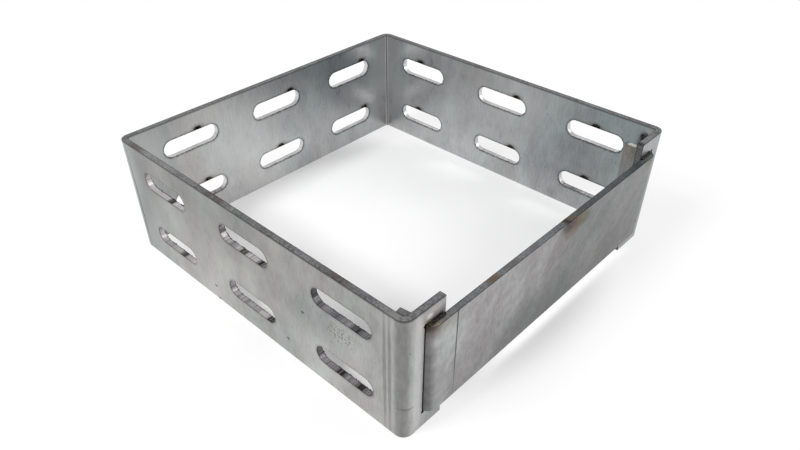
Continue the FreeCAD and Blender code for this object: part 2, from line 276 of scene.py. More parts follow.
def circle_points(centre, radius, first, last, steps):
    """Points along an arc, angles in degrees."""
    points = []
    for i in range(steps + 1):
        angle = math.radians(first + (last - first) * i / steps)
        points.append((centre[0] + radius * math.cos(angle),
                       centre[1] + radius * math.sin(angle)))
    return points


def slot_loop(across, up):
    """One obround slot, wound as a hole."""
    reach = SLOT_LENGTH / 2 - SLOT_RADIUS
    right = circle_points((across + reach, up), SLOT_RADIUS, -90, 90, ARC_STEPS)
    left = circle_points((across - reach, up), SLOT_RADIUS, 90, 270, ARC_STEPS)
    return (right + left)[::-1]


def slot_lower_edge(across, up):
    """The lower half of a slot's outline, where the molten metal ran."""
    reach = SLOT_LENGTH / 2 - SLOT_RADIUS
    left = circle_points((across - reach, up), SLOT_RADIUS, 195, 270, 8)
    right = circle_points((across + reach, up), SLOT_RADIUS, 270, 345, 8)
    return left + right


def window_loop(inside_edge, seam_edge):
    """Window in a flange, with round reliefs in the corners beside the seam."""
    low = PLATE_LIFT - WINDOW_CLEARANCE
    high = PLATE_LIFT + PLATE_HEIGHT + WINDOW_CLEARANCE
    toward = 1 if seam_edge > inside_edge else -1
    middle = abs(seam_edge) - toward * RELIEF / 2
    lower = circle_points((0, low), RELIEF, 180, 420, ARC_STEPS)
    upper = circle_points((0, high), RELIEF, -60, 180, ARC_STEPS)
    points = [(inside_edge, low)]
    points += [(middle + toward * x, y) for x, y in lower + upper]
    points += [(inside_edge, high)]
    return points[::-1] if toward > 0 else points


def link_piece(name, mesh):
    """Put a finished mesh into the scene at the origin."""
    piece = bpy.data.objects.new(name, mesh)
    bpy.context.collection.objects.link(piece)
    return piece


def folded_mesh(name, loops, path, lift, materials):
    """Fold a flat blank along its path; the blank's coordinates become the UV map."""
    curve = blank_curve(name + "_blank", loops, path.thickness)
    holder = link_piece(name + "_blank", curve)
    bpy.context.view_layer.update()
    graph = bpy.context.evaluated_depsgraph_get()
    mesh = bpy.data.meshes.new_from_object(holder.evaluated_get(graph))
    bpy.data.objects.remove(holder)
    bpy.data.curves.remove(curve)

    work = bmesh.new()
    work.from_mesh(mesh)
    bmesh.ops.remove_doubles(work, verts=work.verts, dist=0.001 * MM)
    for cut in path.bend_cuts():
        bmesh.ops.bisect_plane(work, geom=work.verts[:] + work.edges[:] + work.faces[:],
                               dist=0.0001 * MM, plane_co=(cut, 0, 0), plane_no=(1, 0, 0))
    bmesh.ops.triangulate(work, faces=[f for f in work.faces if len(f.verts) > 4])
    work.normal_update()
    layer = work.loops.layers.uv.new("blank")
    depth_layer = work.verts.layers.float.new("depth")
    for face in work.faces:
        # The sheet's two flat faces take the first material, its cut edges the second.
        face.material_index = 0 if abs(face.normal.z) > 0.9 else 1
        for loop in face.loops:
            loop[layer].uv = (loop.vert.co.x, loop.vert.co.y)
    for vert in work.verts:
        across, up, level = vert.co
        depth = path.thickness / 2 - level
        vert[depth_layer] = depth
        plan = path.point(across, depth)
        vert.co = (plan.x, plan.y, up + lift)
    bmesh.ops.recalc_face_normals(work, faces=work.faces)
    mesh.materials.clear()
    for material in materials:
        mesh.materials.append(material)
    work.to_mesh(mesh)
    work.free()
    mesh.name = name
    for polygon in mesh.polygons:
        polygon.use_smooth = True
    mesh.set_sharp_from_angle(angle=math.radians(20))
    return link_piece(name, mesh)


quarter = math.pi / 2
outer_radius = FRAME_BEND + THICKNESS
flange_run = FLANGE_LENGTH - outer_radius
side_run = 2 * (HALF_LENGTH - outer_radius)
back_run = 2 * (HALF_WIDTH - outer_radius)
corner = ("bend", quarter, FRAME_BEND)
frame_path = FoldPath(
    (HALF_LENGTH, -HALF_WIDTH + FLANGE_LENGTH), -quarter,
    [("run", flange_run), corner, ("run", side_run), corner, ("run", back_run),
     corner, ("run", side_run), corner, ("run", flange_run)], THICKNESS)
NEAR_FLANGE, NEAR_CORNER, LEFT_WALL, BACK_WALL, BACK_CORNER, RIGHT_WALL = 0, 1, 2, 4, 5, 6

plate_outer_radius = PLATE_BEND + THICKNESS
bend_rise = math.sqrt(plate_outer_radius ** 2 - PLATE_BEND ** 2)
bend_centre_y = HALF_WIDTH - SEAM_SETBACK - bend_rise
bend_centre_x = HALF_LENGTH - PLATE_BEND
on_end = Vector((bend_centre_x + plate_outer_radius * math.cos(PLATE_TURN),
                 bend_centre_y + plate_outer_radius * math.sin(PLATE_TURN)))
end_run = (on_end.x - plate_low.x) / math.sin(PLATE_TURN)
tip = on_end + Vector((-end_run * math.sin(PLATE_TURN), end_run * math.cos(PLATE_TURN)))
plate_path = FoldPath(
    tip, -(quarter - PLATE_TURN),
    [("run", end_run), ("bend", PLATE_TURN, PLATE_BEND), ("run", 2 * bend_centre_y),
     ("bend", PLATE_TURN, PLATE_BEND), ("run", end_run)], THICKNESS)
FAR_BEND, PLATE_FACE, NEAR_BEND = 1, 2, 3


SLOTTED_WALLS = ((LEFT_WALL, SIDE_PITCH, LEFT_SHIFT), (BACK_WALL, BACK_PITCH, 0),
                 (RIGHT_WALL, SIDE_PITCH, 0))


def slot_places():
    """Blank position of every slot: wall, column along +X or +Y, row, across, up."""
    for wall, pitch, shift in SLOTTED_WALLS:
        for column in (-1, 0, 1):
            across = frame_path.across(wall, (column * pitch + shift) / MM)
            for row, up in enumerate((LOW_ROW, HIGH_ROW)):
                yield wall, column, row, across, up


# ------------------------------------------------------------------ scorches, marks and painted light and shade
# Where the beam pierced each slot, in mm along the wall from the slot's middle: one
# group for each column, by wall and row.
PIERCED = {
    (LEFT_WALL, 1): ((2.7,), (-1.5, 10.0), (7.0,)),
    (LEFT_WALL, 0): ((2.7,), (11.0,), (-3.0, 8.0)),
    (BACK_WALL, 1): ((4.4,), (10.0,), (10.3,)),
    (BACK_WALL, 0): ((4.8,), (-0.3,), (11.6,)),
    (RIGHT_WALL, 1): ((-1.7,), (9.4,), (0.0,)),
    (RIGHT_WALL, 0): ((-2.5,), (9.3,), (-1.0,)),
}

# Broad areas of painted light and shade, standing in for what the sheet reflects, and a
# warm tint over the left wall: wall, middle along it and up it in mm, half sizes in mm,
# tint, strength and how it is laid on.
FRAME_TONES = (
    (LEFT_WALL, -15, 56, 70, 26, "#dcdddc", 1.0, "MULTIPLY"),
    (LEFT_WALL, -86, 34, 16, 45, "#cdd3d4", 1.0, "MULTIPLY"),
    (BACK_WALL, -40, 22, 42, 36, "#ffffff", 0.16, "MIX"),
    (BACK_WALL, 72, 36, 34, 44, "#ffffff", 0.10, "MIX"),
    (BACK_WALL, 22, 62, 44, 22, "#d6dadb", 1.0, "MULTIPLY"),
    (BACK_WALL, 52, 46, 24, 26, "#dfe2e2", 1.0, "MULTIPLY"),
    (RIGHT_WALL, -68, 36, 40, 44, "#ffffff", 0.13, "MIX"),
    (RIGHT_WALL, -20, 60, 40, 20, "#ffffff", 0.10, "MIX"),
    (RIGHT_WALL, 14, 38, 26, 24, "#e9eded", 1.0, "MULTIPLY"),
    (RIGHT_WALL, 66, 44, 26, 34, "#d2d8d8", 1.0, "MULTIPLY"),
    (LEFT_WALL, 0, 30, 130, 70, "#fffdf8", 1.0, "MULTIPLY"),
    (BACK_WALL, -84, 48, 10, 18, "#ffffff", 0.3, "MIX"),
)
# Painted light and shade on the plate: darker toward the far end and along the bottom, lighter
# at the near end.
PLATE_TONES = (
    (PLATE_FACE, 48, 24, 48, 40, "#d0d1cf", 1.0, "MULTIPLY"),
    (PLATE_FACE, -10, 2, 60, 14, "#d8d8d7", 1.0, "MULTIPLY"),
    (PLATE_FACE, -62, 34, 16, 30, "#ffffff", 0.10, "MIX"),
)


def pierce_places():
    """Blank position of every pierced place: wall, across, up the slot's middle."""
    for wall, column, row, across, up in slot_places():
        toward = -1 if wall == LEFT_WALL else 1
        for offset in PIERCED[wall, row][column + 1]:
            yield wall, across + toward * offset * MM, up


def blank_place(tree):
    """Position on the flat blank, in metres across and up."""
    return add(tree, "ShaderNodeUVMap", uv_map="blank")


def sheet_depth(tree):
    """Depth below the sheet's outer face, in metres."""
    return add(tree, "ShaderNodeAttribute", attribute_name="depth").outputs["Fac"]


def inner_face(tree):
    """1 on the inner face of the sheet, 0 on the outer face."""
    return add(tree, RANGE, [sheet_depth(tree), THICKNESS * 0.3, THICKNESS * 0.7])


def outer_face(tree):
    """1 on the outer face of the sheet, 0 on the inner face."""
    return add(tree, MATHS, [1.0, inner_face(tree)], operation="SUBTRACT")


def scribe(tree, place, across, half_width, low, high):
    """A line up the sheet, fading out at its ends."""
    return spot(tree, place, (across, (low + high) / 2), (half_width, (high - low) / 2), 0.5)


def tone_areas(tree, base, place, path, areas):
    """Broad soft areas of painted light and shade, and of tint, placed in mm."""
    for wall, along, up, half_along, half_up, tint, strength, mode in areas:
        area = spot(tree, place, (path.across(wall, along), up * MM),
                    (half_along * MM, half_up * MM), 0.9)
        base = stain(tree, base, area, tint, strength, mode)
    return base


def slot_rim(tree, place, width):
    """1 at the edge of every slot, falling to 0 a little way out."""
    parts = add(tree, SEPARATE, [place])
    across, up = parts.outputs[0], parts.outputs[1]
    rise = add(tree, MATHS, [up, ROW_MIDDLE], operation="SUBTRACT")
    rise = add(tree, MATHS, [rise], operation="ABSOLUTE")
    rise = add(tree, MATHS, [rise, ROW_SPACING / 2], operation="SUBTRACT")
    nearest = 1.0                   # farther than any slot
    for wall, pitch, shift in SLOTTED_WALLS:
        middle = frame_path.across(wall, shift / MM)
        along = add(tree, MATHS, [across, middle], operation="SUBTRACT")
        column = add(tree, MATHS, [along, 1 / pitch, 0], operation="MULTIPLY_ADD")
        column = add(tree, MATHS, [column], operation="ROUND")
        column = add(tree, MATHS, [column, -1.0], operation="MAXIMUM")
        column = add(tree, MATHS, [column, 1.0], operation="MINIMUM")
        beside = add(tree, MATHS, [column, -pitch, along], operation="MULTIPLY_ADD")
        beside = add(tree, MATHS, [beside], operation="ABSOLUTE")
        past = add(tree, MATHS, [beside, SLOT_LENGTH / 2 - SLOT_RADIUS], operation="SUBTRACT")
        past = add(tree, MATHS, [past, 0.0], operation="MAXIMUM")
        away = add(tree, "ShaderNodeCombineXYZ", [past, rise, 0.0])
        away = add(tree, VECTOR, [away], operation="LENGTH")
        nearest = add(tree, MATHS, [nearest, away], operation="MINIMUM")
    return add(tree, RANGE, [nearest, SLOT_RADIUS, SLOT_RADIUS + width, 1, 0])


def upper_band(tree, place, top, width):
    """1 along the upper edge of the blank, falling to 0 below it."""
    up = add(tree, SEPARATE, [place]).outputs[1]
    return add(tree, RANGE, [up, top - width, top - width * 0.3])


def rolled_steel(name, light, dark, marks):
    """Bare hot-rolled steel sheet.

    Rolled and pickled, then rubbed through the bending tools: a satin metal with soft
    blotches of thin oxide, streaks that run up the walls, and a few dark flecks.
    """
    material, tree = new_material(name)
    place = blank_place(tree)
    drift = mottle(tree, place, 38, (1, 1.2), 1)
    blotches = mottle(tree, place, 9, (0.8, 1.5), 4)
    streaks = mottle(tree, place, 1.1, (0.8, 5), 3)
    flecks = mottle(tree, place, 1.2, (0.7, 2.6), 1, 0.69, 0.77)
    tone = total(tree, (drift, 0.40), (blotches, 0.32), (streaks, 0.28))
    base = add(tree, MIX, [tone, colour(dark), colour(light)], data_type="RGBA")
    base = stain(tree, base, mottle(tree, place, 60, (1, 0.7), 1), "#f0f4f5")
    base = stain(tree, base, mottle(tree, place, 45, (0.6, 1.3), 2), "#f6f1f2")
    base = stain(tree, base, flecks, "#a8a4a2", 0.6)
    # Marks, and painted light and shade, laid by the given function.
    base = marks(tree, place, base)
    rough = total(tree, (blotches, 0.06), (streaks, 0.05), (1.0, 0.27))
    metal_surface(tree, base, 1.0, rough, streaks, strength=0.15, depth=0.03)
    return material


def bend_marks(tree, place, base):
    """Lines left by the die beside the left wall's bends, painted shade and a painted highlight
    across the near corner's bend, and a dark line of painted shade inside the back corner's
    bend.
    """
    outside = outer_face(tree)
    for x, half_width, tint in ((80.4, 0.9, "#d3d2cf"), (82.8, 0.8, "#cecdca"),
                                (-84.1, 0.5, "#a3a3a2")):
        line = scribe(tree, place, frame_path.across(LEFT_WALL, x), half_width * MM, 0, HEIGHT)
        base = stain(tree, base, both(tree, line, outside), tint)
    # Painted shade and a painted highlight across the near corner's bend, on its outer face.
    near_bend = frame_path.bend_middle(NEAR_CORNER)
    shade = scribe(tree, place, near_bend + 0.7 * MM, 2.0 * MM, -20 * MM, HEIGHT * 1.4)
    base = stain(tree, base, both(tree, shade, outside), "#cbcac7")
    shine = scribe(tree, place, near_bend - 4.6 * MM, 2.0 * MM, -20 * MM, HEIGHT * 1.4)
    base = stain(tree, base, both(tree, shine, outside), "#fffbff", 0.19, "MIX")
    # A dark line of painted shade inside the back corner's bend.
    crease = frame_path.bend_middle(BACK_CORNER)
    line = scribe(tree, place, crease, 0.7 * MM, -10 * MM, HEIGHT * 1.2)
    return stain(tree, base, both(tree, line, inner_face(tree)), "#5f6060")


def cutting_marks(tree, place, base):
    """Dark rims at the slots and the top, and scorches where the beam pierced."""
    outside = outer_face(tree)
    inside = inner_face(tree)
    ragged = mottle(tree, place, 1.1, (1, 1), 3)
    rim = both(tree, slot_rim(tree, place, 1.3 * MM), total(tree, (ragged, 0.6), (1.0, 0.4)))
    base = stain(tree, base, both(tree, rim, inside), "#4a4847", 0.95)
    base = stain(tree, base, both(tree, rim, outside), "#a5a2a0", 0.7)
    base = stain(tree, base, upper_band(tree, place, HEIGHT, 0.9 * MM), "#8d8c8b", 0.8)
    for wall, across, up in pierce_places():
        if wall == LEFT_WALL:
            continue
        top = up + SLOT_RADIUS
        halo = spot(tree, place, (across, top + 0.7 * MM), (3.4 * MM, 1.8 * MM), 0.8)
        core = spot(tree, place, (across, top + 0.4 * MM), (2.3 * MM, 1.6 * MM), 0.35)
        core = both(tree, core, total(tree, (ragged, 0.5), (1.0, 0.75)))
        base = stain(tree, base, both(tree, halo, inside), "#b3a18f", 0.8)
        base = stain(tree, base, both(tree, core, inside), "#1d1917", 0.97)
    return base


def handling_marks(tree, place, base):
    """A rubbed patch, a scratch across the near bend and a few flecks of dirt."""
    outside = outer_face(tree)
    speckled = mottle(tree, place, 1.0, (1, 1), 2, 0.52, 0.6)
    patch = spot(tree, place, (frame_path.across(LEFT_WALL, 58), 33.8 * MM),
                 (7 * MM, 4.5 * MM), 0.5)
    patch = both(tree, both(tree, patch, speckled), outside)
    base = stain(tree, base, patch, "#bdb7b2")
    scratch = spot(tree, place, (frame_path.bend_middle(NEAR_CORNER) - 0.5 * MM, 16 * MM),
                   (2.6 * MM, 0.25 * MM), 0.5)
    base = stain(tree, base, both(tree, scratch, outside), "#b5b3b0")
    for x, up in ((-26.8, 7.6), (-25.7, 0.6), (36.4, 31.5), (24.6, 9.1)):
        fleck = spot(tree, place, (frame_path.across(LEFT_WALL, x), up * MM),
                     (0.9 * MM, 0.6 * MM), 0.5)
        base = stain(tree, base, both(tree, fleck, outside), "#6d6a67")
    return base


def welding_marks(tree, place, base):
    """Bleached steel with a painted glint above the near tack, and a ragged patch of painted
    shadow cast by the flange beside the far one.
    """
    outside = outer_face(tree)
    seam = (SEAM_SETBACK - HALF_WIDTH) / MM
    heat = spot(tree, place, (frame_path.across(NEAR_FLANGE, seam + 4), 54.5 * MM),
                (6.5 * MM, 3.6 * MM), 0.7)
    base = stain(tree, base, both(tree, heat, outside), "#f3e2df")
    base = stain(tree, base, both(tree, heat, outside), "#ffffff", 0.32, "MIX")
    # A painted glint on the flange above the near tack.
    glint = spot(tree, place, (frame_path.across(NEAR_FLANGE, -77.3), 55.9 * MM),
                 (1.5 * MM, 1.0 * MM), 0.4)
    base = stain(tree, base, both(tree, glint, outside), "#ffffff", 0.85, "MIX")
    # Painted shadow of the flange on the right wall's inner face, beside the far tack, with a
    # ragged edge.
    ragged = mottle(tree, place, 1.1, (1, 1), 3)
    soot = spot(tree, place, (frame_path.across(RIGHT_WALL, 82.6), 54 * MM),
                (2.1 * MM, 2.6 * MM), 0.3)
    soot = both(tree, soot, inner_face(tree))
    soot = both(tree, soot, total(tree, (ragged, 0.5), (1.0, 0.5)))
    return stain(tree, base, soot, "#4f4b49", 0.95)


def frame_marks(tree, place, base):
    """Painted light and shade, and everything that folding, cutting, handling and welding left
    on the frame.
    """
    base = tone_areas(tree, base, place, frame_path, FRAME_TONES)
    base = bend_marks(tree, place, base)
    base = cutting_marks(tree, place, base)
    base = handling_marks(tree, place, base)
    return welding_marks(tree, place, base)


def plate_marks(tree, place, base):
    """Painted light and shade, a scribed line, diagonal smears, a scorched patch, heat tint at
    the tacks, and heat tint with painted shade inside the far tip.
    """
    outside = outer_face(tree)
    turned = add(tree, MAPPING, {"Vector": place, "Rotation": (0, 0, math.radians(50))})
    smears = mottle(tree, turned, 9, (3.2, 0.9), 3)
    base = tone_areas(tree, base, place, plate_path, PLATE_TONES)
    base = stain(tree, base, smears, "#e4e4e3", 0.65)
    patches = mottle(tree, place, 2.6, (1, 1.3), 3)
    base = stain(tree, base, patches, "#dedddc", 0.5)
    # Painted shade and a faint painted highlight across the near bend, on its outer face.
    near_bend = plate_path.bend_middle(NEAR_BEND)
    shade = scribe(tree, place, near_bend + 1.8 * MM, 2.2 * MM, -20 * MM, HEIGHT)
    base = stain(tree, base, both(tree, shade, outside), "#bab9b9")
    shine = scribe(tree, place, near_bend - 4.5 * MM, 4 * MM, -20 * MM, HEIGHT)
    base = stain(tree, base, both(tree, shine, outside), "#ffffff", 0.05, "MIX")
    line = scribe(tree, place, plate_path.across(PLATE_FACE, -65.6), 0.35 * MM,
                  PLATE_HEIGHT * 0.12, PLATE_HEIGHT * 1.5)
    base = stain(tree, base, both(tree, line, outside), "#777573")
    top = PLATE_HEIGHT
    ragged = mottle(tree, place, 1.6, (1, 1), 3)
    for y, down, half_across, half_up, tint, strength, mode in (
            (15.5, 3.0, 5.5, 3.8, "#aaa46c", 0.85, "MULTIPLY"),
            (8.4, 5.8, 5.0, 3.0, "#cdb39c", 0.85, "MULTIPLY"),
            (9.2, 1.8, 4.6, 3.4, "#5d3a25", 0.95, "MIX"),
            (5.2, 1.6, 4.6, 3.2, "#1f1815", 0.97, "MIX")):
        burn = spot(tree, place, (plate_path.across(PLATE_FACE, y), top - down * MM),
                    (half_across * MM, half_up * MM), 0.55)
        burn = both(tree, burn, outside)
        if mode == "MIX":
            burn = both(tree, burn, total(tree, (ragged, 0.4), (1.0, 0.7)))
        base = stain(tree, base, burn, tint, strength, mode)
    for index, toward in ((FAR_BEND, -1), (NEAR_BEND, 1)):
        middle = plate_path.bend_middle(index)
        tint = spot(tree, place, (middle, top), (8 * MM, 4.0 * MM), 0.9)
        base = stain(tree, base, tint, "#c4bca4", 0.7)
        core = spot(tree, place, (middle + toward * 2 * MM, top), (3.2 * MM, 2.2 * MM), 0.7)
        base = stain(tree, base, core, "#8a7464", 0.8)
    # Olive heat tint on the far return's inner face near its tip, darkened as painted shade.
    tip_tint = spot(tree, place, (3 * MM, top - 4 * MM), (7 * MM, 7 * MM), 0.7)
    return stain(tree, base, both(tree, tip_tint, inner_face(tree)), "#dcd8c6", 0.6)


def laser_cut_edge(name, light, dark, top, top_light, top_dark, marks):
    """Laser-cut edge of the sheet: fine lines across the thickness under dull oxide.

    The long upper edge is darkest, with brown patches; the slots' edges still shine.
    """
    material, tree = new_material(name)
    place = blank_place(tree)
    up = add(tree, SEPARATE, [place]).outputs[1]
    lines = mottle(tree, place, 0.5, (1, 1), 2)
    patches = mottle(tree, place, 12, (1, 1), 3)
    solid = add(tree, COORDINATES).outputs["Object"]
    speckle = mottle(tree, solid, 0.9, (1, 1), 3)
    tone = total(tree, (lines, 0.5), (patches, 0.5))
    base = add(tree, MIX, [tone, colour(dark), colour(light)], data_type="RGBA")
    along_top = add(tree, RANGE, [up, top - 0.9 * MM, top - 0.5 * MM])
    worn = total(tree, (speckle, 0.65), (patches, 0.35))
    darkened = add(tree, MIX, [worn, colour(top_dark), colour(top_light)], data_type="RGBA")
    base = add(tree, MIX, [along_top, base, darkened], data_type="RGBA")
    rust = mottle(tree, place, 7, (1.5, 1), 4, 0.56, 0.68)
    rust = both(tree, rust, total(tree, (speckle, 0.5), (1.0, 0.3)))
    base = stain(tree, base, both(tree, rust, along_top), "#5f4c40", 0.5, "MIX")
    # Marks, and painted light and shade, laid by the given function.
    base = marks(tree, place, base)
    level = add(tree, MATHS, [sheet_depth(tree), THICKNESS / 2], operation="SUBTRACT")
    level = add(tree, MATHS, [level], operation="ABSOLUTE")
    arris = add(tree, RANGE, [level, THICKNESS / 2 - 0.45 * MM, THICKNESS / 2 - 0.2 * MM])
    base = stain(tree, base, arris, "#818182", 0.8)
    rough = total(tree, (patches, 0.1), (along_top, 0.15), (1.0, 0.28))
    metal_surface(tree, base, 0.9, rough, lines, strength=0.5, depth=0.06)
    return material


def frame_edge_marks(tree, place, base):
    """Painted light on the far slots' edges, painted light and shade on the near wall's slot
    edges, brown patches on the near edge, black burns at the piercings.
    """
    # Painted light on the cut faces of the back wall's slots and the back corner.
    bright = spot(tree, place, (frame_path.bend_middle(BACK_CORNER), ROW_MIDDLE),
                  (back_run + 2 * outer_radius, HEIGHT * 0.44), 0.02)
    base = stain(tree, base, bright, "#ffffff", 0.35, "MIX")
    # Painted light on the near wall's slot edges toward its left end, painted shade toward its
    # right end.
    left = spot(tree, place, (frame_path.across(LEFT_WALL, -56), ROW_MIDDLE),
                (34 * MM, 26 * MM), 0.4)
    base = stain(tree, base, left, "#fff6f8", 0.4, "MIX")
    near = spot(tree, place, (frame_path.across(LEFT_WALL, 62), ROW_MIDDLE),
                (34 * MM, 26 * MM), 0.4)
    base = stain(tree, base, near, "#bcbcc0")
    ragged = mottle(tree, place, 1.2, (1, 1), 3)
    for x, half_across, tint in ((-76.3, 5, "#54443a"), (-20.7, 4, "#54443a"),
                                 (-12, 4, "#54443a"), (57.4, 5, "#54443a"),
                                 (84.5, 4, "#9a9a99")):
        patch = spot(tree, place, (frame_path.across(LEFT_WALL, x), HEIGHT),
                     (half_across * MM, 3 * MM), 0.8)
        patch = both(tree, patch, total(tree, (ragged, 0.6), (1.0, 0.3)))
        base = stain(tree, base, patch, tint, 0.8, "MIX")
    end_face = spot(tree, place, (frame_path.length, HEIGHT / 2), (1.5 * MM, HEIGHT), 0.2)
    base = stain(tree, base, end_face, "#8c8f90")
    for wall, across, up in pierce_places():
        edge = up - SLOT_RADIUS if wall == LEFT_WALL else up + SLOT_RADIUS
        burn = spot(tree, place, (across, edge), (2.0 * MM, 2.0 * MM), 0.6)
        burn = both(tree, burn, total(tree, (ragged, 0.6), (1.0, 0.6)))
        base = stain(tree, base, burn, "#241f1d", 0.95, "MIX")
    return base


def plate_edge_marks(tree, place, base):
    """A painted glint at the far tip, a dull middle, and brown scorches on the top edge."""
    # A painted glint on the far return's top edge.
    streak = spot(tree, place, (3.4 * MM, PLATE_HEIGHT), (1.9 * MM, 2 * MM), 0.5)
    base = stain(tree, base, streak, "#fbf8ea", 0.6, "MIX")
    dull = spot(tree, place, (plate_path.across(PLATE_FACE, 42), PLATE_HEIGHT),
                (36 * MM, 4 * MM), 0.5)
    base = stain(tree, base, dull, "#c0c5c7")
    for y, half_across, tint in ((4.8, 1.6, "#3a332f"), (8.0, 1.4, "#6a5a4c"),
                                 (-44, 3, "#6a5c50")):
        patch = spot(tree, place, (plate_path.across(PLATE_FACE, y), PLATE_HEIGHT),
                     (half_across * MM, 3 * MM), 0.6)
        base = stain(tree, base, patch, tint, 0.9, "MIX")
    for index, tint in ((FAR_BEND, "#7b7c7b"), (NEAR_BEND, "#7f7668")):
        scorch = spot(tree, place, (plate_path.bend_middle(index), PLATE_HEIGHT),
                      (4 * MM, 3 * MM), 0.7)
        base = stain(tree, base, scorch, tint, 0.8, "MIX")
    return base


def burnt_metal(name, light, dark, size):
    """Frozen spatter and weld metal, dark brown with oxide and rather dull."""
    material, tree = new_material(name)
    solid = add(tree, COORDINATES).outputs["Object"]
    grit = mottle(tree, solid, size, (1, 1), 3)
    base = add(tree, MIX, [grit, colour(dark), colour(light)], data_type="RGBA")
    rough = total(tree, (grit, 0.15), (1.0, 0.35))
    metal_surface(tree, base, 0.6, rough, grit, strength=0.4, depth=0.08)
    return material


frame_sheet = rolled_steel("pickled_rolled_steel", "#c0c2c2", "#9d9fa0", frame_marks)
plate_sheet = rolled_steel("smeared_rolled_steel", "#b6b5b6", "#909192", plate_marks)
frame_edge = laser_cut_edge("laser_cut_steel_edge", "#cfcbcd", "#6d6d71",
                            HEIGHT, "#8c8c8e", "#5d5d5e", frame_edge_marks)
plate_edge = laser_cut_edge("laser_cut_plate_edge", "#b5b4b7", "#77777b",
                            PLATE_HEIGHT, "#858587", "#606365", plate_edge_marks)
dross_metal = burnt_metal("laser_dross", "#4d4845", "#1f1b19", 0.5)
weld_metal = burnt_metal("oxidised_weld_steel", "#4a3d35", "#181311", 0.8)


# ------------------------------------------------------------------ pieces
def folded_frame():
    """The slotted ring."""
    loops = [[(0, 0), (frame_path.length, 0), (frame_path.length, HEIGHT), (0, HEIGHT)]]
    loops += [slot_loop(across, up) for _, _, _, across, up in slot_places()]
    inside_edge = HALF_WIDTH - FLANGE_LENGTH
    near_edge = HALF_WIDTH - SEAM_SETBACK + SEAM_GAP - inside_edge
    far_edge = bend_centre_y - WINDOW_CLEARANCE - inside_edge
    loops.append(window_loop(far_edge, near_edge))
    full = frame_path.length
    loops.append(window_loop(full - far_edge, full - near_edge))
    return folded_mesh("folded_sheet_frame", loops, frame_path, 0.0, [frame_sheet, frame_edge])


def closing_plate():
    """The plate with its two bent ends."""
    loops = [[(0, 0), (plate_path.length, 0), (plate_path.length, PLATE_HEIGHT),
              (0, PLATE_HEIGHT)]]
    return folded_mesh("hooked_plate", loops, plate_path, PLATE_LIFT, [plate_sheet, plate_edge])


def bead_nodes(material):
    """Nodes that string rough beads of frozen metal along a line."""
    tree = bpy.data.node_groups.new("frozen_beads", "GeometryNodeTree")
    sockets = (("Line", "NodeSocketGeometry"), ("Spacing", "NodeSocketFloat"),
               ("Smallest radius", "NodeSocketFloat"), ("Largest radius", "NodeSocketFloat"),
               ("Scatter", "NodeSocketVector"), ("Share kept", "NodeSocketFloat"),
               ("Seed", "NodeSocketInt"))
    for label, kind in sockets:
        tree.interface.new_socket(label, in_out="INPUT", socket_type=kind)
    tree.interface.new_socket("Beads", in_out="OUTPUT", socket_type="NodeSocketGeometry")
    given = add(tree, "NodeGroupInput").outputs
    points = add(tree, "GeometryNodeCurveToPoints",
                 {"Curve": given["Line"], "Length": given["Spacing"]}, mode="LENGTH")
    back = add(tree, VECTOR, [given["Scatter"], (-1, -1, -1)], operation="MULTIPLY")
    wander = add(tree, RANDOM, {0: back, 1: given["Scatter"], 3: given["Seed"]},
                 data_type="FLOAT_VECTOR")
    placed = add(tree, "GeometryNodeSetPosition", {"Geometry": points, "Offset": wander})
    size = add(tree, RANDOM, {0: given["Smallest radius"], 1: given["Largest radius"],
                              3: given["Seed"]}, data_type="FLOAT")
    kept = add(tree, RANDOM, {0: given["Share kept"], 2: given["Seed"]}, data_type="BOOLEAN")
    turned = add(tree, RANDOM, {0: (0, 0, 0), 1: (math.tau, math.tau, math.tau),
                                3: given["Seed"]}, data_type="FLOAT_VECTOR")
    bead = add(tree, "GeometryNodeMeshIcoSphere", {"Radius": 1.0, "Subdivisions": 2})
    strung = add(tree, "GeometryNodeInstanceOnPoints",
                 {"Points": placed, "Selection": kept, "Instance": bead,
                  "Rotation": turned, "Scale": size})
    real = add(tree, "GeometryNodeRealizeInstances", [strung])
    finished = add(tree, "GeometryNodeSetMaterial", {"Geometry": real, "Material": material})
    add(tree, "NodeGroupOutput", [finished])
    return tree


def beads(name, lines, material, spacing, radii, scatter, kept, seed):
    """Beads of metal frozen along lines, as one plain mesh."""
    curve = bpy.data.curves.new(name + "_lines", "CURVE")
    curve.dimensions = "3D"
    for line in lines:
        spline = curve.splines.new("POLY")
        spline.points.add(len(line) - 1)
        for point, place in zip(spline.points, line):
            point.co = (*place, 1)
    holder = link_piece(name + "_lines", curve)
    nodes = bead_nodes(material)
    modifier = holder.modifiers.new("beads", "NODES")
    modifier.node_group = nodes
    values = {"Spacing": spacing, "Smallest radius": radii[0], "Largest radius": radii[1],
              "Scatter": scatter, "Share kept": kept, "Seed": seed}
    for item in nodes.interface.items_tree:
        if item.in_out == "INPUT" and item.name in values:
            modifier[item.identifier] = values[item.name]
    bpy.context.view_layer.update()
    graph = bpy.context.evaluated_depsgraph_get()
    mesh = bpy.data.meshes.new_from_object(holder.evaluated_get(graph))
    mesh.name = name
    bpy.data.objects.remove(holder)
    bpy.data.curves.remove(curve)
    for polygon in mesh.polygons:
        polygon.use_smooth = True
    return link_piece(name, mesh)


def dross_lines():
    """Inner lower edges of all the slots, where the cut's dross hangs."""
    for _, _, _, across, up in slot_places():
        line = []
        for place, height in slot_lower_edge(across, up):
            plan = frame_path.point(place, THICKNESS - 0.12 * MM)
            line.append((plan.x, plan.y, height - 0.05 * MM))
        yield line


